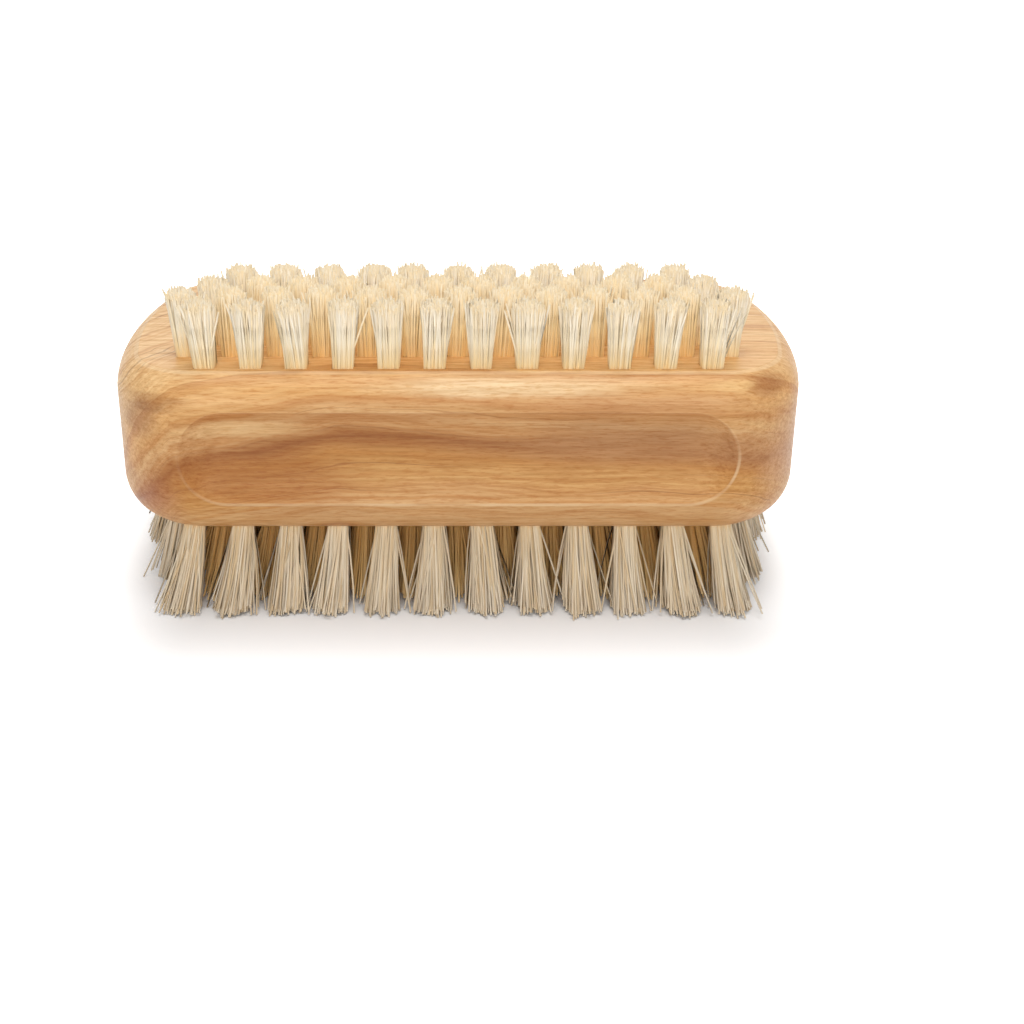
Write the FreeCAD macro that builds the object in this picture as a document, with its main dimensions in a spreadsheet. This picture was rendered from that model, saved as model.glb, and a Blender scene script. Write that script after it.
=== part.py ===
import FreeCAD, Part
import math
import os

import Sketcher
from FreeCAD import Vector

# Two-sided wooden nail brush. Millimetres, +X along the block, +Z up, the front towards -Y.
# The origin is on the surface that the brush stands on, under the middle of the block.

SIZES = [
    ("block_length", 88.9, "over the two ends"),
    ("block_depth", 45.7, "front to back"),
    ("block_thickness", 21.4, "between the two planed faces"),
    ("end_radius", 62.0, "gentle bow of each end, seen from above"),
    ("corner_radius", 11.5, "upright corners"),
    ("top_round", 4.6, "round of the upper edge"),
    ("bottom_round", 6.2, "round of the lower edge"),
    ("planing", 0.3, "wood planed off each face after rounding, which leaves a crisp edge"),
    ("groove_length", 68.4, "length of the finger groove on the block's side, over its round ends"),
    ("groove_height", 12.2, "height of the finger groove on the block's side"),
    ("groove_sink", 1.8, "depth of the finger groove"),
    ("groove_lift", 0.3, "middle of the groove above the middle of the block"),
    ("end_row_tufts", 12, "tufts in a front row; a row behind it has up to two more, or one fewer"),
    ("top_end_margin", 10.85, "end of the block to the last tuft of the longest top row"),
    ("bottom_end_margin", 4.8, "end of the block to the last tuft of the longest bottom row"),
    ("top_front_margin", 4.85, "front of the block to the first top row"),
    ("top_row_step", 4.4, "between top rows, which fill the front of the face only"),
    ("bottom_edge_margin", 5.85, "front or back of the block to the outer bottom rows"),
    ("hole_width", 2.6, "square tuft hole, across its flats"),
    ("hole_sink", 7.5, "depth of a tuft hole"),
    ("root_clearance", 0.02, "tuft root to the wall of its hole"),
    ("top_bristle", 8.1, "top face to the top tips"),
    ("bottom_bristle", 9.8, "bottom face to the bottom tips"),
    ("top_tip_gap", 1.7, "between top tufts of one row, at the tips"),
    ("bottom_tip_gap", 1.4, "between bottom tufts of one row, at the tips"),
    ("top_row_tip_gap", 1.3, "between neighbouring top rows, at the tips"),
    ("bottom_row_tip_gap", 5.5, "between neighbouring bottom rows, at the tips"),
    ("top_end_lean", 1.0, "outward lean of the last top tufts of a row, degrees"),
    ("top_row_lean", 8.0, "outward lean of the outer top rows, degrees"),
    ("bottom_end_lean", 6.0, "outward lean of the last bottom tufts of a row, degrees"),
    ("bottom_row_lean", 19.5, "outward lean of the outer bottom rows, degrees"),
    ("fold", 0.7, "bristle fold under an anchor"),
    ("anchor_height", 1.4, "height of the flat wire anchor in a tuft's fold"),
    ("anchor_thickness", 0.5, "thickness of the flat wire anchor"),
]

# Tufts that each row has over the front row, from the front to the back
TOP_ROWS = (0, 1, 0, -1)
BOTTOM_ROWS = (0, 1, 2, 1, 0)

doc = FreeCAD.newDocument("nail_brush")
sheet = doc.addObject("Spreadsheet::Sheet", "Sizes")
for line, (alias, value, meaning) in enumerate(SIZES, start=1):
    sheet.set(f"A{line}", alias)
    sheet.set(f"B{line}", str(value))
    sheet.setAlias(f"B{line}", alias)
    sheet.set(f"C{line}", meaning)
doc.recompute()


def size(alias):
    """One driving size, as the sheet holds it."""
    return float(sheet.get(alias))


def pitch_expression(side, rows):
    """Step between the tufts of a row, from the face's longest row."""
    return f"((Sizes.block_length - 2 * Sizes.{side}_end_margin) / (Sizes.end_row_tufts + {max(rows) - 1}))"


MIDDLE_Z = "(Sizes.bottom_bristle + Sizes.block_thickness / 2)"
FACES = {
    "top": {
        "rows": TOP_ROWS,
        "pitch": pitch_expression("top", TOP_ROWS),
        "level": "Sizes.bottom_bristle + Sizes.block_thickness",
        "first_row": "(Sizes.top_front_margin - Sizes.block_depth / 2)",
        "row_step": "Sizes.top_row_step",
        "out": 1,
    },
    "bottom": {
        "rows": BOTTOM_ROWS,
        "pitch": pitch_expression("bottom", BOTTOM_ROWS),
        "level": "Sizes.bottom_bristle",
        "first_row": "(Sizes.bottom_edge_margin - Sizes.block_depth / 2)",
        "row_step": f"((Sizes.block_depth - 2 * Sizes.bottom_edge_margin) / {len(BOTTOM_ROWS) - 1})",
        "out": -1,
    },
}


# Tuft layout

def row_places(side):
    """Place of a face's first row and the step from row to row."""
    first_row = size("top_front_margin") - size("block_depth") / 2
    if side == "top":
        return first_row, size("top_row_step")
    first_row = size("bottom_edge_margin") - size("block_depth") / 2
    return first_row, -2 * first_row / (len(BOTTOM_ROWS) - 1)


def longest_row(side):
    return size("block_length") - 2 * size(f"{side}_end_margin")


def tuft_pitch(side):
    return longest_row(side) / (size("end_row_tufts") + max(FACES[side]["rows"]) - 1)


def tuft_places(side, row):
    """For each tuft of a row: its place on the face and its share of the outward lean, along and across."""
    pitch = tuft_pitch(side)
    reach = longest_row(side) / 2
    first_row, row_step = row_places(side)
    rows = FACES[side]["rows"]
    count = int(size("end_row_tufts")) + rows[row]
    across = 2 * row / (len(rows) - 1) - 1
    y = first_row + row * row_step
    along = [(item - (count - 1) / 2) * pitch for item in range(count)]
    return [(x, y, x / reach, across) for x in along]


# Sketch helpers

def origin_feature(body, role):
    return next(item for item in body.Origin.OriginFeatures if item.Role == role)


def new_sketch(body, name, lift):
    """A sketch on the level plane, raised to the height that an expression gives."""
    sketch = body.newObject("Sketcher::SketchObject", name)
    sketch.AttachmentSupport = [(origin_feature(body, "XY_Plane"), "")]
    sketch.MapMode = "FlatFace"
    sketch.setExpression("AttachmentOffset.Base.z", lift)
    return sketch


def bind(sketch, kind, places, value, name, expression):
    """Add a dimension to a sketch, name it and tie it to the sheet."""
    index = sketch.addConstraint(Sketcher.Constraint(kind, *places, value))
    sketch.renameConstraint(index, name)
    sketch.setExpression(f"Constraints.{name}", expression)


def join_in_loop(sketch, count):
    for item in range(count):
        sketch.addConstraint(Sketcher.Constraint("Coincident", item, 2, (item + 1) % count, 1))


def straight(start, end):
    return Part.LineSegment(Vector(*start, 0), Vector(*end, 0))


def arc(centre, radius, start_angle, end_angle):
    circle = Part.Circle(Vector(*centre, 0), Vector(0, 0, 1), radius)
    return Part.ArcOfCircle(circle, start_angle, end_angle)


def draw_rectangle(sketch, corner, extent, expressions):
    """A rectangle from its left front corner; expressions tie its place and its extent to the sheet."""
    x, y = corner
    wide, deep = extent
    left, front, width, depth = expressions
    corners = [(x, y), (x + wide, y), (x + wide, y + deep), (x, y + deep)]
    sketch.addGeometry([straight(corners[i], corners[(i + 1) % 4]) for i in range(4)], False)
    join_in_loop(sketch, 4)
    for item, direction in enumerate(("Horizontal", "Vertical", "Horizontal", "Vertical")):
        sketch.addConstraint(Sketcher.Constraint(direction, item))
    bind(sketch, "DistanceX", (-1, 1, 0, 1), x, "left", left)
    bind(sketch, "DistanceY", (-1, 1, 0, 1), y, "front", front)
    bind(sketch, "DistanceX", (0, 1, 0, 2), wide, "width", width)
    bind(sketch, "DistanceY", (1, 1, 1, 2), deep, "depth", depth)


# Wooden block

def draw_outline(sketch):
    """Plan of the block with sharp corners: straight front and back, bowed ends."""
    half_depth = size("block_depth") / 2
    radius = size("end_radius")
    inward = radius - size("block_length") / 2
    spread = math.asin(half_depth / radius)
    corner = radius * math.cos(spread) - inward
    sketch.addGeometry([
        straight((-corner, -half_depth), (corner, -half_depth)),
        arc((-inward, 0), radius, -spread, spread),
        straight((corner, half_depth), (-corner, half_depth)),
        arc((inward, 0), radius, math.pi - spread, math.pi + spread),
    ], False)
    join_in_loop(sketch, 4)
    sketch.addConstraint([
        Sketcher.Constraint("Symmetric", 0, 1, 0, 2, -2),
        Sketcher.Constraint("Symmetric", 2, 1, 2, 2, -2),
        Sketcher.Constraint("PointOnObject", 1, 3, -1),
        Sketcher.Constraint("Equal", 1, 3),
    ])
    bind(sketch, "DistanceY", (0, 1, -1, 1), half_depth, "front", "Sizes.block_depth / 2")
    bind(sketch, "DistanceY", (-1, 1, 2, 1), half_depth, "back", "Sizes.block_depth / 2")
    bind(sketch, "Radius", (1,), radius, "bow", "Sizes.end_radius")
    bind(sketch, "DistanceX", (1, 3, -1, 1), inward, "reach", "Sizes.end_radius - Sizes.block_length / 2")


CUTTER_RADIUS = "((Sizes.groove_height ^ 2 / 4 + Sizes.groove_sink ^ 2) / (2 * Sizes.groove_sink))"


def draw_groove(sketch):
    """Half section of the finger-shaped cutter that scoops the groove, with its axis in front of the block."""
    sink = size("groove_sink")
    radius = ((size("groove_height") / 2) ** 2 + sink ** 2) / (2 * sink)
    half = (size("groove_length") - size("groove_height")) / 2
    axis = sink - radius - size("block_depth") / 2
    sketch.addGeometry([
        straight((-half - radius, axis), (half + radius, axis)),
        arc((half, axis), radius, -math.pi / 2, 0),
        straight((half, axis - radius), (-half, axis - radius)),
        arc((-half, axis), radius, math.pi, 1.5 * math.pi),
    ], False)
    sketch.addConstraint([
        Sketcher.Constraint("Coincident", 0, 2, 1, 2),
        Sketcher.Constraint("Tangent", 1, 1, 2, 1),
        Sketcher.Constraint("Tangent", 2, 2, 3, 2),
        Sketcher.Constraint("Coincident", 3, 1, 0, 1),
        Sketcher.Constraint("Symmetric", 0, 1, 0, 2, -2),
        Sketcher.Constraint("PointOnObject", 1, 3, 0),
        Sketcher.Constraint("PointOnObject", 3, 3, 0),
    ])
    bind(sketch, "Radius", (1,), radius, "cutter", CUTTER_RADIUS)
    bind(sketch, "DistanceX", (3, 3, 1, 3), 2 * half, "straight", "Sizes.groove_length - Sizes.groove_height")
    bind(sketch, "DistanceY", (0, 1, -1, 1), -axis, "reach",
         f"Sizes.block_depth / 2 + {CUTTER_RADIUS} - Sizes.groove_sink")


def draw_hole(sketch, side, row):
    """Square outline of a row's first tuft hole."""
    face = FACES[side]
    span = f"(Sizes.end_row_tufts + {face['rows'][row]} - 1) * {face['pitch']}"
    place = f"{face['first_row']} + {row} * {face['row_step']}"
    width = size("hole_width")
    x, y, _, _ = tuft_places(side, row)[0]
    draw_rectangle(sketch, (x - width / 2, y - width / 2), (width, width), (
        f"-({span} + Sizes.hole_width) / 2",
        f"{place} - Sizes.hole_width / 2",
        "Sizes.hole_width",
        "Sizes.hole_width",
    ))


def edges_where(feature, test):
    """Names of a feature's edges whose two ends and middle pass a test."""
    names = []
    for number, edge in enumerate(feature.Shape.Edges, start=1):
        middle = edge.valueAt((edge.FirstParameter + edge.LastParameter) / 2)
        points = [vertex.Point for vertex in edge.Vertexes] + [middle]
        if test(points):
            names.append(f"Edge{number}")
    return names


def add_fillet(body, base, name, edges, alias):
    fillet = body.newObject("PartDesign::Fillet", name)
    fillet.Base = (base, edges)
    fillet.setExpression("Radius", f"Sizes.{alias}")
    doc.recompute()
    return fillet


def spread_of(points, axis):
    values = [point[axis] for point in points]
    return max(values) - min(values)


def make_block():
    body = doc.addObject("PartDesign::Body", "block")
    body.Label = "block"

    outline = new_sketch(body, "block_outline", "Sizes.bottom_bristle - Sizes.planing")
    draw_outline(outline)
    pad = body.newObject("PartDesign::Pad", "block_pad")
    pad.Profile = outline
    pad.setExpression("Length", "Sizes.block_thickness + 2 * Sizes.planing")
    doc.recompute()

    near = 1e-4
    upright = edges_where(pad, lambda points: spread_of(points, 0) < near and spread_of(points, 1) < near)
    corners = add_fillet(body, pad, "upright_corners", upright, "corner_radius")
    top = corners.Shape.BoundBox.ZMax
    upper = edges_where(corners, lambda points: all(abs(point.z - top) < near for point in points))
    rounded_top = add_fillet(body, corners, "upper_round", upper, "top_round")
    bottom = rounded_top.Shape.BoundBox.ZMin
    lower = edges_where(rounded_top, lambda points: all(abs(point.z - bottom) < near for point in points))
    add_fillet(body, rounded_top, "lower_round", lower, "bottom_round")

    length = size("block_length")
    depth = size("block_depth")
    for side, face in FACES.items():
        sketch = new_sketch(body, f"{side}_planing_outline", face["level"])
        draw_rectangle(sketch, (-length, -depth), (2 * length, 2 * depth), (
            "-Sizes.block_length",
            "-Sizes.block_depth",
            "2 * Sizes.block_length",
            "2 * Sizes.block_depth",
        ))
        planing = body.newObject("PartDesign::Pocket", f"{side}_planing")
        planing.Profile = sketch
        planing.Reversed = face["out"] > 0
        planing.setExpression("Length", "2 * Sizes.planing")
        doc.recompute()

    profile = new_sketch(body, "groove_profile", f"{MIDDLE_Z} + Sizes.groove_lift")
    draw_groove(profile)
    groove = body.newObject("PartDesign::Groove", "front_finger_groove")
    groove.Profile = profile
    groove.ReferenceAxis = (profile, ["Edge1"])
    groove.Angle = 360
    doc.recompute()
    both = body.newObject("PartDesign::Mirrored", "back_finger_groove")
    both.Originals = [groove]
    both.MirrorPlane = (origin_feature(body, "XZ_Plane"), [""])
    body.Tip = both
    doc.recompute()

    for side, face in FACES.items():
        for row in range(len(face["rows"])):
            drill_row(body, side, face, row)
    return body


def drill_row(body, side, face, row):
    """Blind holes for one row of tufts, from the first hole along the row."""
    name = f"{side}_row_{row + 1}"
    sketch = new_sketch(body, f"{name}_hole", face["level"])
    draw_hole(sketch, side, row)
    hole = body.newObject("PartDesign::Pocket", f"{name}_first_hole")
    hole.Profile = sketch
    hole.Reversed = face["out"] < 0
    hole.Refine = False
    hole.setExpression("Length", "Sizes.hole_sink")
    doc.recompute()
    holes = body.newObject("PartDesign::LinearPattern", f"{name}_holes")
    holes.Originals = [hole]
    holes.Refine = False
    holes.Direction = (origin_feature(body, "X_Axis"), [""])
    count = f"Sizes.end_row_tufts + {face['rows'][row]}"
    holes.setExpression("Length", f"({count} - 1) * {face['pitch']}")
    holes.setExpression("Occurrences", count)
    body.Tip = holes
    doc.recompute()


# Bristle tufts and their anchors

def four_sided(x, y, z, width, depth):
    signs = [(-1, -1), (1, -1), (1, 1), (-1, 1)]
    return [Vector(x + a * width / 2, y + b * depth / 2, z) for a, b in signs]


def flat_sided(sections):
    """A solid with flat sides through sections that are listed upwards and turned alike."""
    rings = [sections[0][::-1], sections[-1]]
    for low, high in zip(sections, sections[1:]):
        for item in range(len(low)):
            before = item - 1
            rings.append([low[before], low[item], high[item], high[before]])
    faces = [Part.Face(Part.makePolygon(ring + ring[:1])) for ring in rings]
    return Part.makeSolid(Part.makeShell(faces))


def anchor_box(side, x, y, length):
    """Flat wire anchor standing across its hole, just above the fold of the tuft."""
    height = size("anchor_height")
    thickness = size("anchor_thickness")
    low = size("bottom_bristle") + size("hole_sink") - size("fold") - height
    if side == "top":
        low = size("bottom_bristle") + size("block_thickness") - size("hole_sink") + size("fold")
    return Part.makeBox(length, thickness, height, Vector(x - length / 2, y - thickness / 2, low))


def tuft_solid(side, x, y, along, across):
    """One tuft: a straight root that fills its hole, a flare to the tips, and an eye for the anchor."""
    out = FACES[side]["out"]
    level = size("bottom_bristle")
    if side == "top":
        level = level + size("block_thickness")
    root = size("hole_width") - 2 * size("root_clearance")
    free = size(f"{side}_bristle")
    row_lean = math.radians(size(f"{side}_row_lean"))
    shift_x = free * math.tan(math.radians(size(f"{side}_end_lean")) * along)
    shift_y = free * math.tan(row_lean * across)
    tip_width = tuft_pitch(side) - size(f"{side}_tip_gap")
    lean_step = 2 * row_lean / (len(FACES[side]["rows"]) - 1)
    tip_step = row_places(side)[1] + free * math.tan(lean_step)
    tip_depth = tip_step - size(f"{side}_row_tip_gap")
    sections = [
        four_sided(x, y, level - out * size("hole_sink"), root, root),
        four_sided(x, y, level, root, root),
        four_sided(x + shift_x, y + shift_y, level + out * free, tip_width, tip_depth),
    ]
    whole = flat_sided(sections[::out])
    return whole.cut(anchor_box(side, x, y, 2 * size("hole_width")))


def add_group(name, solids):
    """A node that holds a row of separate solids."""
    group = doc.addObject("Part::Feature", name)
    group.Label = name
    group.Shape = Part.makeCompound(solids)
    group.Placement = FreeCAD.Placement()
    return group


def make_row(side, row):
    places = tuft_places(side, row)
    tufts = [tuft_solid(side, *place) for place in places]
    anchors = [anchor_box(side, x, y, size("hole_width")) for x, y, _, _ in places]
    return [
        add_group(f"{side}_row_{row + 1}_tufts", tufts),
        add_group(f"{side}_row_{row + 1}_anchors", anchors),
    ]


nodes = [make_block()]
for side_name, side_face in FACES.items():
    for row_number in range(len(side_face["rows"])):
        nodes.extend(make_row(side_name, row_number))
doc.recompute()

for item in doc.Objects:
    if "Invalid" in item.State or "Error" in item.State:
        raise RuntimeError(f"{item.Name} failed: {item.State}")
for node in nodes:
    if node.Shape.isNull() or not node.Shape.isValid():
        raise RuntimeError(f"{node.Label} has no valid shape")

os.makedirs("parts", exist_ok=True)
for node in nodes:
    node.Shape.exportStep(f"parts/{node.Label}.step")
    print(node.Label, len(node.Shape.Solids), "solids", round(node.Shape.Volume, 1), "mm3")
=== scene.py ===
import math
import random

import bpy
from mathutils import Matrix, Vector


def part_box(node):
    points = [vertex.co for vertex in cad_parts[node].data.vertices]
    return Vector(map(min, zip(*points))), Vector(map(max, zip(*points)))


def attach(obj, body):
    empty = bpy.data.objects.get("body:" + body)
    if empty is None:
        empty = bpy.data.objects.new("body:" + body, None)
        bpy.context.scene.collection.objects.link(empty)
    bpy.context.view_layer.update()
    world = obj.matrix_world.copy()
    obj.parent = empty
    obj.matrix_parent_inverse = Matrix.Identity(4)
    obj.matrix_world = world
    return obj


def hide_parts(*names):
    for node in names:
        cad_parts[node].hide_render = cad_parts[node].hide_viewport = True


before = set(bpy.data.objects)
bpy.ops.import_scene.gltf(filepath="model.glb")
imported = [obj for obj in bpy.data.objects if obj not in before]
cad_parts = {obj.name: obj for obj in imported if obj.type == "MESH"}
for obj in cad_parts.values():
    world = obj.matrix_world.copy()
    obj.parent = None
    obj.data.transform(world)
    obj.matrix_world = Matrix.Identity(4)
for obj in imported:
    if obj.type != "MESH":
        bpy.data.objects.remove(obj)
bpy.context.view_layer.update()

# Two-sided wooden nail brush. Metres, +X along the block, +Z up, the front towards -Y.
# A colour of three numbers is a screen colour, 0 to 255, and becomes linear where it is used.

MM = 0.001
IMAGE_SIDE = 1024
ROWS = {"top": 4, "bottom": 5}

block_low, block_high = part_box("block")
TOP_FACE = block_high.z
BOTTOM_FACE = block_low.z
MIDDLE_Z = (TOP_FACE + BOTTOM_FACE) / 2


# Helpers

def new_object(name, data):
    """An object in the scene."""
    thing = bpy.data.objects.new(name, data)
    bpy.context.scene.collection.objects.link(thing)
    return thing


def new_material(name):
    """An empty node material, and the tree to fill."""
    material = bpy.data.materials.new(name)
    material.use_nodes = True
    tree = material.node_tree
    tree.nodes.clear()
    return material, tree


def add_node(tree, kind, inputs=None, **settings):
    """A node with its settings and inputs; an input is a value or another node's output."""
    node = tree.nodes.new(kind)
    for key, value in settings.items():
        setattr(node, key, value)
    for key, value in (inputs or {}).items():
        if isinstance(value, bpy.types.NodeSocket):
            tree.links.new(value, node.inputs[key])
        else:
            node.inputs[key].default_value = value
    return node


def srgb(red, green, blue):
    """A screen colour as linear values, by the sRGB curve."""
    def linear(value):
        share = value / 255
        return share / 12.92 if share <= 0.04045 else ((share + 0.055) / 1.055) ** 2.4
    return (linear(red), linear(green), linear(blue), 1.0)


def add_ramp(tree, factor, stops):
    """A ramp through stops of place and linear colour."""
    node = add_node(tree, "ShaderNodeValToRGB", {"Fac": factor})
    elements = node.color_ramp.elements
    while len(elements) < len(stops):
        elements.new(0.5)
    for element, (place, colour) in zip(elements, stops):
        element.position = place
        element.color = colour
    return node.outputs["Color"]


def add_colour_ramp(tree, factor, stops):
    """A ramp through stops of place and screen colour."""
    return add_ramp(tree, factor, [(place, srgb(*colour)) for place, colour in stops])


def add_math(tree, operation, first, second=0.0, clamp=False):
    node = add_node(tree, "ShaderNodeMath", {0: first, 1: second}, operation=operation, use_clamp=clamp)
    return node.outputs[0]


def add_product(tree, first, *others):
    """Several values multiplied in turn."""
    product = first
    for factor in others:
        product = add_math(tree, "MULTIPLY", product, factor)
    return product


def add_vector(tree, operation, first, second=(0.0, 0.0, 0.0)):
    """Vector maths that gives a vector."""
    node = add_node(tree, "ShaderNodeVectorMath", {0: first, 1: second}, operation=operation)
    return node.outputs["Vector"]


def add_length(tree, vector):
    node = add_node(tree, "ShaderNodeVectorMath", {0: vector}, operation="LENGTH")
    return node.outputs["Value"]


def add_mix(tree, blend, factor, first, second):
    """Mix two colours."""
    node = add_node(tree, "ShaderNodeMix", data_type="RGBA", blend_type=blend)
    for socket, value in (("Factor_Float", factor), ("A_Color", first), ("B_Color", second)):
        target = next(item for item in node.inputs if item.identifier == socket)
        if isinstance(value, bpy.types.NodeSocket):
            tree.links.new(value, target)
        else:
            target.default_value = value
    return next(item for item in node.outputs if item.identifier == "Result_Color")


def add_range(tree, value, low, high, new_low=0.0, new_high=1.0, kind="SMOOTHSTEP"):
    """Map a value from one range to another, and hold it at the ends of the new range."""
    node = add_node(tree, "ShaderNodeMapRange", {
        "Value": value, "From Min": low, "From Max": high, "To Min": new_low, "To Max": new_high,
    }, interpolation_type=kind)
    return node.outputs["Result"]


def add_place(tree, middle=0.0):
    """Place in millimetres, with heights from a middle level that is given in metres."""
    place = add_node(tree, "ShaderNodeTexCoord").outputs["Object"]
    mapping = add_node(tree, "ShaderNodeMapping", {
        "Vector": place, "Scale": (1 / MM, 1 / MM, 1 / MM), "Location": (0.0, 0.0, -middle / MM),
    })
    return mapping.outputs["Vector"]


def add_noise(tree, vector, scale, detail=2.0, rough=0.5):
    """Noise over a vector in millimetres that is stretched by a scale for each axis."""
    mapping = add_node(tree, "ShaderNodeMapping", {"Vector": vector, "Scale": scale})
    noise = add_node(tree, "ShaderNodeTexNoise", {
        "Vector": mapping.outputs["Vector"], "Scale": 1.0, "Detail": detail, "Roughness": rough,
    })
    return noise.outputs["Fac"]


def add_line_noise(tree, value, scale, detail, rough):
    """Noise along one measure in millimetres."""
    noise = add_node(tree, "ShaderNodeTexNoise", {
        "W": value, "Scale": scale, "Detail": detail, "Roughness": rough,
    }, noise_dimensions="1D")
    return noise.outputs["Fac"]


def finish_material(tree, shader):
    add_node(tree, "ShaderNodeOutputMaterial", {"Surface": shader.outputs[0]})


# Camera

FOCAL_PIXELS = 1329.0
SENSOR_WIDTH = 36.0
CLIP_START = 0.01
CLIP_END = 20.0
CAMERA_DISTANCE = 182.5 * MM
CAMERA_ELEVATION = 0.365
AIM = Vector((0.0, 0.0, MIDDLE_Z))
AIM_PIXEL = (458.0, 394.8)


def turn_towards(direction):
    """Turn of a camera or lamp that looks in a direction."""
    return direction.to_track_quat("-Z", "Y").to_euler()


def make_camera():
    data = bpy.data.cameras.new("camera")
    data.sensor_width = SENSOR_WIDTH
    data.lens = FOCAL_PIXELS / IMAGE_SIDE * SENSOR_WIDTH
    data.shift_x = 0.5 - AIM_PIXEL[0] / IMAGE_SIDE
    data.shift_y = AIM_PIXEL[1] / IMAGE_SIDE - 0.5
    data.clip_start = CLIP_START
    data.clip_end = CLIP_END
    camera = new_object("camera", data)
    away = Vector((0.0, -math.cos(CAMERA_ELEVATION), math.sin(CAMERA_ELEVATION)))
    camera.location = AIM + CAMERA_DISTANCE * away
    camera.rotation_euler = turn_towards(-away)
    bpy.context.scene.camera = camera


make_camera()


# Wood. Places are in millimetres from the middle of the block.
# A range is the two ends of a measure, and the two values they turn into where those aren't 0 and 1.

# Broad tones by height from the dark heart streak
TONE_REACH = 15.0
WOOD_TONES = [
    (-15.0, (212, 170, 126)),
    (-8.0, (215, 173, 122)),
    (-5.0, (214, 167, 102)),
    (-2.4, (202, 149, 84)),
    (-1.0, (186, 132, 76)),
    (0.0, (164, 108, 58)),
    (0.8, (186, 134, 82)),
    (1.8, (210, 164, 112)),
    (3.4, (222, 181, 131)),
    (4.5, (219, 176, 122)),
    (5.4, (206, 153, 93)),
    (6.6, (225, 178, 118)),
    (8.2, (229, 183, 124)),
    (10.5, (233, 193, 138)),
    (15.0, (236, 202, 152)),
]

# Height of the heart streak at places along the block
STREAK_LOW = -12.0
STREAK_HIGH = 4.0
STREAK_REACH = 44.5
STREAK = [
    (-44.5, -11.0), (-40.7, -7.2), (-34.7, -1.4), (-30.0, 0.0),
    (-15.0, 2.4), (0.0, 2.0), (20.0, 1.2), (44.5, 0.4),
]

# The grain wanders slowly, ripples, and drops towards the back
NOISE_MIDDLE = 0.5
WANDER_SCALE = (0.03, 0.06, 0.08)
WANDER_REACH = 4.0
RIPPLE_SCALE = (0.08, 0.3, 0.3)
RIPPLE_REACH = 2.0
FRONT_DEPTH = 22.0
GRAIN_SLOPE = 0.12

# Growth rings: broad bands, and thin dark lines that break off; a noise has a scale, detail and roughness
RING_DEPTH_SHARE = 0.5
BAND_NOISE = (0.5, 3.0, 0.6)
BAND_SHADES = [
    (0.28, (206, 166, 122)),
    (0.42, (238, 216, 184)),
    (0.54, (255, 252, 246)),
    (0.72, (240, 214, 176)),
]
BAND_STRENGTH = 0.7
LINE_NOISE = (1.6, 2.0, 0.5)
LINE_RANGE = (0.37, 0.27, 0.0, 0.5)
LINE_COLOUR = (156, 98, 50)
BREAK_SCALE = (0.03, 0.3, 0.3)
BREAK_DETAIL = 1.0
BREAK_RANGE = (0.42, 0.6)

# Patches of other colour: centre, radii, colour and strength
WOOD_PATCHES = [
    ((-39.2, -20.4, 4.6), (3.4, 4.0, 3.0), (152, 98, 54), 0.5),
    ((-37.4, -21.4, 6.6), (3.6, 4.0, 0.7), (146, 92, 46), 0.5),
    ((-37.5, -21.5, -5.4), (4.6, 5.0, 3.4), (172, 114, 80), 0.6),
    ((-36.5, -21.0, 7.6), (6.0, 5.0, 0.8), (160, 104, 52), 0.5),
    ((37.2, -20.0, 9.0), (3.2, 4.0, 1.5), (156, 98, 52), 0.65),
    ((33.2, -21.0, 9.4), (3.0, 4.0, 0.7), (243, 206, 146), 0.6),
    ((22.0, -22.0, 7.6), (19.0, 4.0, 2.0), (202, 150, 100), 0.6),
    ((40.5, -18.0, -1.0), (4.5, 8.0, 5.5), (206, 158, 114), 0.75),
    ((24.0, -22.0, 1.4), (26.0, 4.0, 2.6), (188, 138, 90), 0.8),
    ((22.0, -22.0, 3.4), (14.0, 4.0, 2.2), (168, 122, 82), 0.4),
    ((-25.0, -22.0, -3.0), (15.0, 4.0, 4.0), (170, 106, 36), 0.7),
    ((-27.0, -22.0, 3.9), (9.0, 4.0, 1.5), (240, 204, 150), 0.6),
    # The two end patches are partly the end grain's own tone and partly a painted reflection: a pinkish
    # glare
    ((-44.0, -10.0, 0.0), (4.5, 13.0, 8.0), (164, 120, 92), 0.5),
    ((44.0, -10.0, 0.0), (4.0, 13.0, 8.0), (208, 168, 136), 0.4),
    ((6.0, -21.0, 9.2), (20.0, 4.0, 1.2), (247, 224, 184), 0.6),
]
PATCH_RAGGED = 0.4
PATCH_EDGE = (1.25, 0.3)

# Fine fibres along the grain, and short flecks
FIBRE_SCALE = (0.12, 2.4, 2.4)
FIBRE_DETAIL = 4.0
FIBRE_ROUGH = 0.65
FIBRE_SHADES = [(0.3, (224, 208, 190)), (0.62, (255, 255, 255))]
FIBRE_STRENGTH = 0.85
FLECK_SCALE = (0.7, 5.0, 5.0)
FLECK_DETAIL = 2.0
FLECK_ROUGH = 0.6
FLECK_SHADES = [(0.34, (236, 216, 190)), (0.5, (255, 255, 255))]
FLECK_STRENGTH = 0.7

# Finger grooves on the long sides: the rim's outline, painted shade just inside it and a painted highlight
# on it
GROOVE_STRAIGHT = 28.1
GROOVE_HALF = 6.1
GROOVE_LIFT = 0.3
SIDE_RANGE = (19.5, 20.5)
GROOVE_SHADE_INNER_RANGE = (-2.4, -0.3)
GROOVE_SHADE_OUTER_RANGE = (0.05, -0.1)
GROOVE_SHADE_HEIGHT_RANGE = (-1.0, 5.0, 0.08, 0.35)
GROOVE_SHADE_COLOUR = (214, 178, 142)
RIM_WIDTH_RANGE = (0.3, 0.04)
RIM_RIPPLE_RANGE = (0.35, 0.65, 0.1, 0.45)
RIM_HEIGHT_RANGE = (5.0, -4.0, 0.2, 1.0)
RIM_LENGTH_RANGE = (-34.0, -24.0, 0.15, 1.0)
RIM_HIGHLIGHT_COLOUR = (248, 224, 182)
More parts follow.
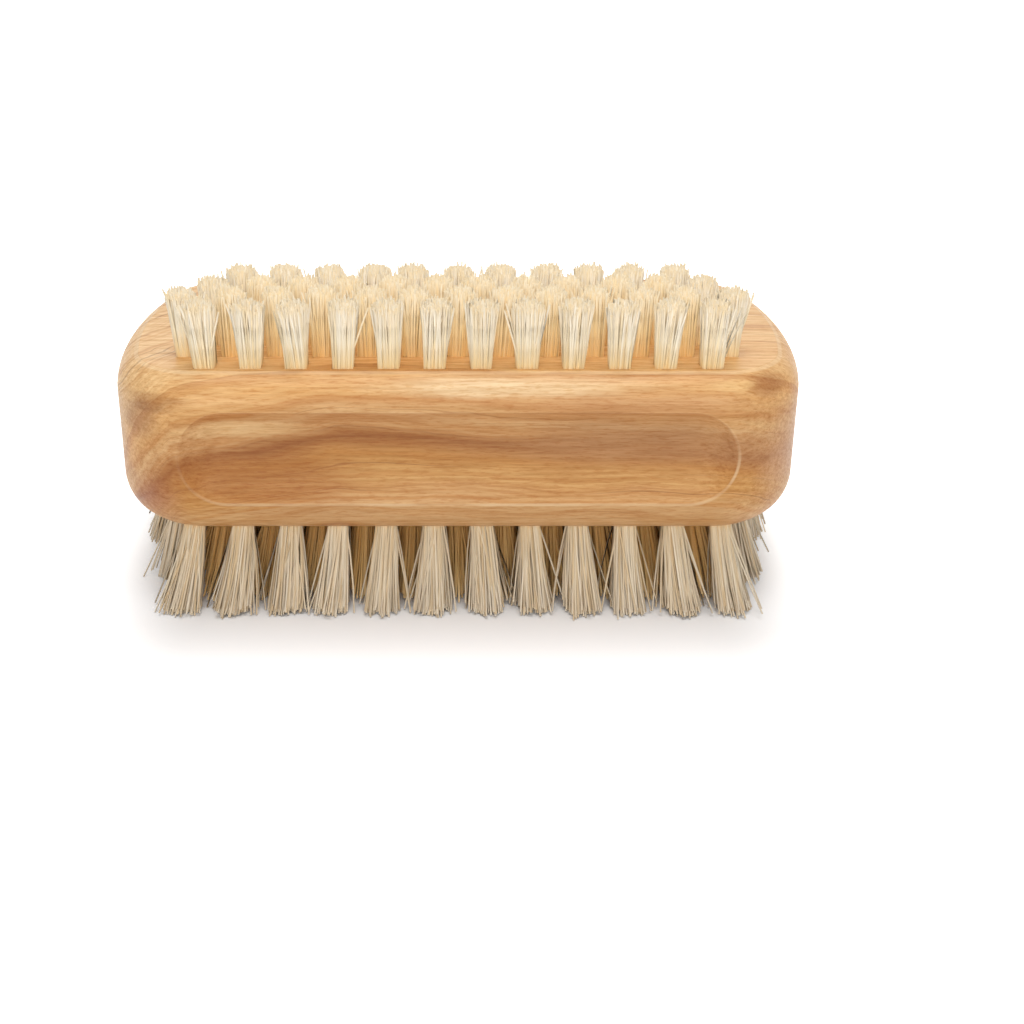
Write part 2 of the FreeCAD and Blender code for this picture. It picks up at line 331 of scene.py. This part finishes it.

# Painted highlight: a light line on the rounded edge just under the top face
CREST_LOWER_RANGE = (10.35, 10.5)
CREST_UPPER_RANGE = (10.69, 10.66)
CREST_HIGHLIGHT_STRENGTH = 0.2
CREST_HIGHLIGHT_COLOUR = (250, 230, 194)

WOOD_ROUGH_RANGE = (0.3, 0.7, 0.54, 0.38)
WOOD_SPECULAR = 0.35
BUMP_STRENGTH = 0.2
BUMP_DEPTH = 0.08 * MM


def centred_share(place, reach):
    """Share of the way from -reach to reach."""
    return (place + reach) / (2 * reach)


def streak_height(tree, along):
    """Height of the heart streak at a place along the block."""
    stops = []
    for place, height in STREAK:
        level = (height - STREAK_LOW) / (STREAK_HIGH - STREAK_LOW)
        stops.append((centred_share(place, STREAK_REACH), (level, level, level, 1.0)))
    share = add_range(tree, along, -STREAK_REACH, STREAK_REACH, kind="LINEAR")
    curve = add_ramp(tree, share, stops)
    return add_range(tree, curve, 0.0, 1.0, STREAK_LOW, STREAK_HIGH, kind="LINEAR")


def grain_shift(tree, noise, reach):
    """Noise as a shift up or down."""
    return add_math(tree, "MULTIPLY", add_math(tree, "SUBTRACT", noise, NOISE_MIDDLE), reach)


def rim_distance(tree, along, height):
    """Distance from the rim of a finger groove, below zero inside the groove."""
    beyond = add_math(tree, "SUBTRACT", add_math(tree, "ABSOLUTE", along), GROOVE_STRAIGHT)
    beyond = add_math(tree, "MAXIMUM", beyond, 0.0)
    above = add_math(tree, "SUBTRACT", height, GROOVE_LIFT)
    square = add_math(tree, "ADD", add_product(tree, beyond, beyond), add_product(tree, above, above))
    return add_math(tree, "SUBTRACT", add_math(tree, "SQRT", square), GROOVE_HALF)


def add_tones(tree, tone_height):
    """Broad colour of the wood."""
    share = add_range(tree, tone_height, -TONE_REACH, TONE_REACH, kind="LINEAR")
    stops = [(centred_share(level, TONE_REACH), colour) for level, colour in WOOD_TONES]
    return add_colour_ramp(tree, share, stops)


def add_rings(tree, colour, point, rings):
    """Shade a colour with growth rings."""
    bands = add_line_noise(tree, rings, *BAND_NOISE)
    colour = add_mix(tree, "MULTIPLY", BAND_STRENGTH, colour, add_colour_ramp(tree, bands, BAND_SHADES))
    lines = add_range(tree, add_line_noise(tree, rings, *LINE_NOISE), *LINE_RANGE)
    broken = add_range(tree, add_noise(tree, point, BREAK_SCALE, BREAK_DETAIL), *BREAK_RANGE)
    return add_mix(tree, "MIX", add_product(tree, lines, broken), colour, srgb(*LINE_COLOUR))


def add_patches(tree, colour, point, bend):
    """Mix soft patches with ragged edges into a colour."""
    for centre, radii, patch_colour, strength in WOOD_PATCHES:
        away = add_vector(tree, "DIVIDE", add_vector(tree, "SUBTRACT", point, centre), radii)
        ragged = add_math(tree, "ADD", add_length(tree, away), add_product(tree, bend, PATCH_RAGGED))
        share = add_range(tree, ragged, *PATCH_EDGE, 0.0, strength)
        colour = add_mix(tree, "MIX", share, colour, srgb(*patch_colour))
    return colour


def add_groove_shade_and_highlight(tree, colour, axes, ripple):
    """Paint shade into a colour just inside the rim of a finger groove, and a highlight on the rim."""
    along, across, height = axes
    off = rim_distance(tree, along, height)
    side = add_range(tree, add_math(tree, "ABSOLUTE", across), *SIDE_RANGE)
    # Painted shade: darker just inside the rim, most on the upper part of the groove, which faces down
    painted_shade = add_product(
        tree,
        add_range(tree, off, *GROOVE_SHADE_INNER_RANGE),
        add_range(tree, off, *GROOVE_SHADE_OUTER_RANGE),
        add_range(tree, height, *GROOVE_SHADE_HEIGHT_RANGE),
        side,
    )
    colour = add_mix(tree, "MULTIPLY", painted_shade, colour, srgb(*GROOVE_SHADE_COLOUR))
    # Painted highlight: a light line on the rim, mostly on its lower part, which faces up
    rim = add_product(
        tree,
        add_range(tree, add_math(tree, "ABSOLUTE", off), *RIM_WIDTH_RANGE),
        side,
        add_range(tree, ripple, *RIM_RIPPLE_RANGE),
        add_range(tree, height, *RIM_HEIGHT_RANGE),
        add_range(tree, along, *RIM_LENGTH_RANGE),
    )
    return add_mix(tree, "MIX", rim, colour, srgb(*RIM_HIGHLIGHT_COLOUR))


def add_crest_highlight(tree, colour, height):
    """Paint a highlight into a colour along the edge of the top face."""
    lower = add_range(tree, height, *CREST_LOWER_RANGE)
    upper = add_range(tree, height, *CREST_UPPER_RANGE)
    crest_highlight = add_product(tree, lower, upper, CREST_HIGHLIGHT_STRENGTH)
    return add_mix(tree, "MIX", crest_highlight, colour, srgb(*CREST_HIGHLIGHT_COLOUR))


def wood_material():
    """Oiled wood with a dark heart streak along the block."""
    material, tree = new_material("olive_wood")
    point = add_place(tree, MIDDLE_Z)
    parts = add_node(tree, "ShaderNodeSeparateXYZ", {"Vector": point}).outputs
    axes = (parts["X"], parts["Y"], parts["Z"])
    along, across, height = axes

    ripple = add_noise(tree, point, RIPPLE_SCALE)
    shift = grain_shift(tree, add_noise(tree, point, WANDER_SCALE), WANDER_REACH)
    bend = grain_shift(tree, ripple, RIPPLE_REACH)
    slope = add_product(tree, add_math(tree, "ADD", across, FRONT_DEPTH), GRAIN_SLOPE)
    swing = add_math(tree, "ADD", add_math(tree, "ADD", shift, bend), slope)
    grain_height = add_math(tree, "ADD", height, swing)
    tone_height = add_math(tree, "SUBTRACT", grain_height, streak_height(tree, along))
    rings = add_math(tree, "ADD", tone_height, add_product(tree, across, RING_DEPTH_SHARE))

    colour = add_tones(tree, tone_height)
    colour = add_rings(tree, colour, point, rings)
    colour = add_patches(tree, colour, point, bend)
    fibres = add_noise(tree, point, FIBRE_SCALE, FIBRE_DETAIL, FIBRE_ROUGH)
    colour = add_mix(tree, "MULTIPLY", FIBRE_STRENGTH, colour, add_colour_ramp(tree, fibres, FIBRE_SHADES))
    flecks = add_noise(tree, point, FLECK_SCALE, FLECK_DETAIL, FLECK_ROUGH)
    colour = add_mix(tree, "MULTIPLY", FLECK_STRENGTH, colour, add_colour_ramp(tree, flecks, FLECK_SHADES))
    colour = add_groove_shade_and_highlight(tree, colour, axes, ripple)
    colour = add_crest_highlight(tree, colour, height)

    bump = add_node(tree, "ShaderNodeBump", {
        "Strength": BUMP_STRENGTH, "Distance": BUMP_DEPTH, "Height": flecks,
    })
    shader = add_node(tree, "ShaderNodeBsdfPrincipled", {
        "Base Color": colour,
        "Roughness": add_range(tree, fibres, *WOOD_ROUGH_RANGE),
        "Normal": bump.outputs["Normal"],
        "Specular IOR Level": WOOD_SPECULAR,
    })
    finish_material(tree, shader)
    return material


# Wire

WIRE_SCALE = (0.8, 9.0, 9.0)
WIRE_SHADES = [(0.35, (150, 150, 152)), (0.65, (196, 196, 198))]
WIRE_ROUGH_RANGE = (0.3, 0.7, 0.28, 0.42)


def wire_material():
    """Drawn steel wire of the anchors."""
    material, tree = new_material("anchor_steel")
    marks = add_noise(tree, add_place(tree), WIRE_SCALE)
    shader = add_node(tree, "ShaderNodeBsdfPrincipled", {
        "Base Color": add_colour_ramp(tree, marks, WIRE_SHADES),
        "Metallic": 1.0,
        "Roughness": add_range(tree, marks, *WIRE_ROUGH_RANGE),
    })
    finish_material(tree, shader)
    return material


# Bristles

# Colour from root to tip, and the darkest tint of a strand
# The golden root end is partly the roots' own darker colour and partly painted shade among packed bristles
BRISTLE_COLOURS = {
    "top": [
        (0.0, (238, 186, 104)),
        (0.3, (248, 222, 174)),
        (0.6, (253, 241, 217)),
        (0.93, (250, 239, 219)),
        (1.0, (246, 230, 200)),
    ],
    "bottom": [
        (0.0, (238, 172, 86)),
        (0.17, (241, 202, 136)),
        (0.26, (239, 221, 190)),
        (0.5, (239, 223, 196)),
        (1.0, (229, 215, 193)),
    ],
}
DARK_TINT = {"top": (252, 244, 226), "bottom": (240, 226, 202)}
LIGHT_TINTS = [(0.35, (248, 242, 232)), (1.0, (255, 255, 255))]
STRAND_ROUGH_RANGE = (0.0, 1.0, 0.62, 0.48)
STRAND_SPECULAR = 0.3

# Strands of one tuft. Roots lie in the hole, ROOT_SINK below the wood's face, and fill ROOT_FILL of it.
# CELL_SPAN is the part of its cell that a strand may stand in, and STRAY_SPAN the part of its reach that
# a stray may use. DEPTH_DRIFT is a whole tuft's drift across the row against its drift along the row.
STRANDS_ACROSS = 18
CLUMP_STRANDS = 3
CELL_SPAN = (0.1, 0.9)
ROOT_FILL = 0.94
ROOT_SINK = 2.5 * MM
STRAND_RADIUS = 0.13 * MM
STRAND_TAPER = 0.1
STRAND_SIDES = 3
STRAND_RINGS = (0.0, 0.22, 0.5, 0.78, 1.0)
CURL_POWER = 3
STRAY_SPAN = (0.5, 1.0)
DEPTH_DRIFT = 0.6
FIELD_HALF = Vector((40.0 * MM, 20.5 * MM))

# Shading of a strand: how round it looks by itself, and how much its inner side follows the bundle
STRAND_ROUND = 0.5
STRAND_WRAP = 0.4
TIP_POWER = 4

# Corners of a solid tuft at one level, and how near to the level they lie
TUFT_CORNERS = 4
LEVEL_SLACK = 0.01 * MM
SAME_DIGITS = 7

# The two kinds of bristle
# over, dome, ragged: how far tips pass the end of the solid tuft, drop towards its edge, and vary
# drift, tuft_drift, clump: scatter of tips by strand, by whole tuft and by clump
# strays, stray_reach: share of strands that stick out to a side, and how far
# bow, curl, splay: bend of a strand, bend of its end, and outward bend of ends at the edge of the field
# fan, end_fan, inner_fan: depth of the tips against the solid tuft's, for the outer rows, for the tufts at
# the ends of inner rows and for the other inner tufts; fan is also the width of the tips everywhere
# inner_reach: how far the colour of the other inner tufts runs from root colour to tip colour; held short,
# it keeps them golden as painted shade between the tufts
# tilt, tip_lift: upward turn of the shading all along a strand, and at its tip
BRISTLES = {
    "top": {
        "face": TOP_FACE, "out": 1,
        "over": 0.35 * MM, "dome": 0.7 * MM, "ragged": 0.26 * MM,
        "drift": 0.1 * MM, "tuft_drift": 0.25 * MM, "clump": 0.12 * MM,
        "strays": 0.015, "stray_reach": 1.9 * MM,
        "bow": 0.06 * MM, "curl": 0.14 * MM, "splay": (0.0, 0.0),
        "fan": 0.92, "end_fan": 0.92, "inner_fan": 0.92,
        "inner_reach": 0.5,
        "tilt": 0.45, "tip_lift": 0.75,
    },
    "bottom": {
        "face": BOTTOM_FACE, "out": -1,
        "over": -0.1 * MM, "dome": 0.5 * MM, "ragged": 0.4 * MM,
        "drift": 0.2 * MM, "tuft_drift": 0.25 * MM, "clump": 0.28 * MM,
        "strays": 0.03, "stray_reach": 2.4 * MM,
        "bow": 0.12 * MM, "curl": 0.2 * MM, "splay": (0.3 * MM, 2.2 * MM),
        "fan": 0.85, "end_fan": 2.2, "inner_fan": 4.2,
        "inner_reach": 0.2,
        "tilt": 0.1, "tip_lift": 0.0,
    },
}


def bristle_material(side):
    """Plant-fibre bristles: colour from root to tip, and a tint for each strand."""
    material, tree = new_material(f"{side}_fibre")
    along = add_node(tree, "ShaderNodeAttribute", attribute_name="along").outputs["Fac"]
    tone = add_node(tree, "ShaderNodeAttribute", attribute_name="tone").outputs["Fac"]
    colour = add_colour_ramp(tree, along, BRISTLE_COLOURS[side])
    tint = add_colour_ramp(tree, tone, [(0.0, DARK_TINT[side])] + LIGHT_TINTS)
    shader = add_node(tree, "ShaderNodeBsdfPrincipled", {
        "Base Color": add_mix(tree, "MULTIPLY", 1.0, colour, tint),
        "Roughness": add_range(tree, tone, *STRAND_ROUGH_RANGE),
        "Specular IOR Level": STRAND_SPECULAR,
    })
    finish_material(tree, shader)
    return material


def tuft_ends(node, level):
    """Centre, width and depth of each tuft of a row at one level, from left to right."""
    points = set()
    for vertex in node.data.vertices:
        if abs(vertex.co.z - level) < LEVEL_SLACK:
            points.add((round(vertex.co.x, SAME_DIGITS), round(vertex.co.y, SAME_DIGITS)))
    ordered = sorted(points)
    ends = []
    for first in range(0, len(ordered), TUFT_CORNERS):
        corners = ordered[first:first + TUFT_CORNERS]
        xs = [corner[0] for corner in corners]
        ys = [corner[1] for corner in corners]
        centre = Vector(((min(xs) + max(xs)) / 2, (min(ys) + max(ys)) / 2, level))
        ends.append((centre, max(xs) - min(xs), max(ys) - min(ys)))
    return ends


def flat_scatter(spread):
    """A random shift to the sides."""
    return Vector((random.gauss(0, spread), random.gauss(0, spread), 0))


def add_strand(shape, root, tip, bow, curl, outward, lift, along_reach):
    """One tapered strand from root to tip, as a few three-sided rings.

    It stands straight in the hole, leans from the hole's mouth, bows between its ends and curls at its tip.
    Packed strands share the light, so a strand is shaded by the way the bundle faces: fully on its outer
    side, and less on its inner side, where this fades to nothing at the tip.
    """
    verts, faces, along, tones, normals = shape
    first = len(verts)
    turn = random.uniform(0, 2 * math.pi)
    tone = random.random()
    line = tip - root
    side = line.orthogonal().normalized()
    other = line.cross(side).normalized()
    mouth = ROOT_SINK / abs(line.z)
    facing = []
    for share in STRAND_RINGS:
        lean = max(0, share - mouth) / (1 - mouth)
        centre = root + Vector((line.x * lean, line.y * lean, line.z * share))
        centre += bow * (4 * share * (1 - share)) + curl * share ** CURL_POWER
        radius = STRAND_RADIUS * (1 - STRAND_TAPER * share)
        at_tip = share ** TIP_POWER
        for item in range(STRAND_SIDES):
            angle = turn + 2 * math.pi * item / STRAND_SIDES
            radial = math.cos(angle) * side + math.sin(angle) * other
            verts.append(centre + radius * radial)
            bundle = outward if radial.dot(outward) > 0 else STRAND_WRAP * (1 - at_tip) * outward
            facing.append((STRAND_ROUND * radial + bundle + Vector((0, 0, lift * at_tip))).normalized())
            along.append(share * along_reach)
            tones.append(tone)
    for ring in range(len(STRAND_RINGS) - 1):
        low = ring * STRAND_SIDES
        high = low + STRAND_SIDES
        for item in range(STRAND_SIDES):
            following = (item + 1) % STRAND_SIDES
            corners = (low + item, low + following, high + following, high + item)
            faces.append(tuple(first + corner for corner in corners))
            normals.extend(facing[corner] for corner in corners)
    last = first + (len(STRAND_RINGS) - 1) * STRAND_SIDES
    end = line.normalized()
    faces.append(tuple(first + item for item in reversed(range(STRAND_SIDES))))
    normals.extend([-end] * STRAND_SIDES)
    faces.append(tuple(last + item for item in range(STRAND_SIDES)))
    normals.extend([end] * STRAND_SIDES)


def add_tuft(shape, style, base, tip, depth_fan, along_reach):
    """The strands of one tuft, from a square of roots to a round of tips."""
    base_centre, base_width, base_depth = base
    tip_centre, tip_width, tip_depth = tip
    out = style["out"]
    drift_x = random.gauss(0, style["tuft_drift"])
    drift_y = random.gauss(0, style["tuft_drift"]) * DEPTH_DRIFT
    drift = Vector((drift_x, drift_y, 0))
    splay_x, splay_y = style["splay"]
    splay = Vector((splay_x * tip_centre.x / FIELD_HALF.x, splay_y * tip_centre.y / FIELD_HALF.y, 0))
    clumps = {}
    for column in range(STRANDS_ACROSS):
        for line in range(STRANDS_ACROSS):
            clump = (column // CLUMP_STRANDS, line // CLUMP_STRANDS)
            if clump not in clumps:
                clumps[clump] = flat_scatter(style["clump"])
            u = (column + random.uniform(*CELL_SPAN)) / STRANDS_ACROSS - 0.5
            v = (line + random.uniform(*CELL_SPAN)) / STRANDS_ACROSS - 0.5
            sunk = Vector((u * base_width * ROOT_FILL, v * base_depth * ROOT_FILL, -out * ROOT_SINK))
            root = base_centre + sunk
            round_u = u * math.sqrt(1 - 2 * v * v)
            round_v = v * math.sqrt(1 - 2 * u * u)
            spread = Vector((round_u * tip_width * style["fan"], round_v * tip_depth * depth_fan, 0))
            end = tip_centre + drift + clumps[clump] + spread
            end.x += random.gauss(0, style["drift"])
            end.y += random.gauss(0, style["drift"])
            if random.random() < style["strays"]:
                end.x += random.choice((-1, 1)) * random.uniform(*STRAY_SPAN) * style["stray_reach"]
            edge = 4 * max(u * u, v * v)
            reach = style["over"] - style["dome"] * edge + random.gauss(0, style["ragged"])
            end.z = max(end.z + out * reach, STRAND_RADIUS)
            bow = flat_scatter(style["bow"])
            curl = splay + flat_scatter(style["curl"])
            outward = Vector((2 * u, 2 * v, style["tilt"]))
            add_strand(shape, root, end, bow, curl, outward, style["tip_lift"], along_reach)


def make_bristle_row(side, row, material):
    """The loose strands of one row, in place of its solid tufts."""
    name = f"{side}_row_{row}"
    style = BRISTLES[side]
    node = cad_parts[f"{name}_tufts"]
    low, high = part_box(f"{name}_tufts")
    tip_level = high.z if style["out"] > 0 else low.z
    shape = ([], [], [], [], [])
    inner = 1 < row < ROWS[side]
    bases = tuft_ends(node, style["face"])
    for place, (base, tip) in enumerate(zip(bases, tuft_ends(node, tip_level))):
        if not inner:
            depth_fan, along_reach = style["fan"], 1.0
        elif place in (0, len(bases) - 1):
            depth_fan, along_reach = style["end_fan"], 1.0
        # The other inner tufts stay near the golden root colours: painted shade between the tufts
        else:
            depth_fan, along_reach = style["inner_fan"], style["inner_reach"]
        add_tuft(shape, style, base, tip, depth_fan, along_reach)
    verts, faces, along, tones, normals = shape
    mesh = bpy.data.meshes.new(f"{name}_bristles")
    mesh.from_pydata(verts, [], faces)
    for attribute, values in (("along", along), ("tone", tones)):
        mesh.attributes.new(attribute, "FLOAT", "POINT").data.foreach_set("value", values)
    mesh.shade_smooth()
    mesh.normals_split_custom_set(normals)
    mesh.materials.append(material)
    piece = new_object(f"{name}_bristles", mesh)
    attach(piece, "root")
    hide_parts(f"{name}_tufts")


random.seed(7)
finishes = {side: bristle_material(side) for side in ROWS}
for side, rows in ROWS.items():
    for row in range(1, rows + 1):
        make_bristle_row(side, row, finishes[side])

wood = wood_material()
steel = wire_material()
for name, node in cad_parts.items():
    if name.endswith("_tufts"):
        continue
    node.data.materials.clear()
    node.data.materials.append(wood if name == "block" else steel)


# Stage and light, in metres and watts

FLOOR_HALF = 3.0
FLOOR_PAINT = (0.8, 0.8, 0.8, 1.0)

# Within this half size the floor is not lifted to white: it shows the brush's real shadow and also a
# painted shadow in this zone's shape, grey even where no shadow falls. Past it the floor fades to white,
# faster along X
SHADE_HALF = (0.032, 0.024, 0.0)
SHADE_RATE = (1.15, 1.0, 0.0)
SHADE_FADE = 0.03

WORLD_COLOUR = (1.0, 1.0, 1.0, 1.0)
WORLD_LIGHT = 0.37
WORLD_SEEN = 1.0

# Lamps: name, place, power, width and depth
LAMPS = [
    ("overhead", (0.03, -0.1, 0.8), 3.6, 0.5, 0.4),
    ("back", (0.0, 0.65, 0.5), 1.1, 0.7, 0.4),
    ("front", (-0.01, -0.78, 0.22), 2.4, 0.7, 0.4),
]


def add_seen(tree):
    """One for a ray that looks at the white, also by reflection, and zero for a ray that gathers light."""
    rays = add_node(tree, "ShaderNodeLightPath").outputs
    seen = add_math(tree, "ADD", rays["Is Camera Ray"], rays["Is Glossy Ray"])
    return add_math(tree, "ADD", seen, rays["Is Transmission Ray"], True)


def make_floor():
    """White floor that glows to full white away from the brush; near it the glow is held back, which shows
    the real shadow and paints a shadow in the zone's shape.
    """
    corners = [(-1, -1), (1, -1), (1, 1), (-1, 1)]
    mesh = bpy.data.meshes.new("floor")
    mesh.from_pydata([(x * FLOOR_HALF, y * FLOOR_HALF, 0) for x, y in corners], [], [(0, 1, 2, 3)])
    floor = new_object("floor", mesh)
    material, tree = new_material("floor_white")
    place = add_node(tree, "ShaderNodeTexCoord").outputs["Object"]
    past = add_vector(tree, "SUBTRACT", add_vector(tree, "ABSOLUTE", place), SHADE_HALF)
    past = add_vector(tree, "MULTIPLY", past, SHADE_RATE)
    past = add_vector(tree, "MAXIMUM", past)
    level = add_range(tree, add_length(tree, past), 0.0, SHADE_FADE)
    glow = add_node(tree, "ShaderNodeEmission", {"Strength": add_product(tree, add_seen(tree), level)})
    paint = add_node(tree, "ShaderNodeBsdfDiffuse", {"Color": FLOOR_PAINT})
    both = add_node(tree, "ShaderNodeAddShader", {0: glow.outputs[0], 1: paint.outputs[0]})
    finish_material(tree, both)
    mesh.materials.append(material)


def make_world():
    """White surroundings: full white for what looks at them, and a plain level for light."""
    world = bpy.data.worlds.new("world")
    bpy.context.scene.world = world
    world.use_nodes = True
    tree = world.node_tree
    tree.nodes.clear()
    strength = add_range(tree, add_seen(tree), 0.0, 1.0, WORLD_LIGHT, WORLD_SEEN, kind="LINEAR")
    back = add_node(tree, "ShaderNodeBackground", {"Color": WORLD_COLOUR, "Strength": strength})
    add_node(tree, "ShaderNodeOutputWorld", {"Surface": back.outputs[0]})


def add_lamp(name, place, power, width, depth):
    """Soft rectangular lamp that faces the brush."""
    data = bpy.data.lights.new(name, "AREA")
    data.shape = "RECTANGLE"
    data.size = width
    data.size_y = depth
    data.energy = power
    lamp = new_object(name, data)
    lamp.location = place
    lamp.rotation_euler = turn_towards(AIM - Vector(place))


make_floor()
make_world()
for lamp in LAMPS:
    add_lamp(*lamp)

bpy.context.scene.view_settings.view_transform = "Standard"
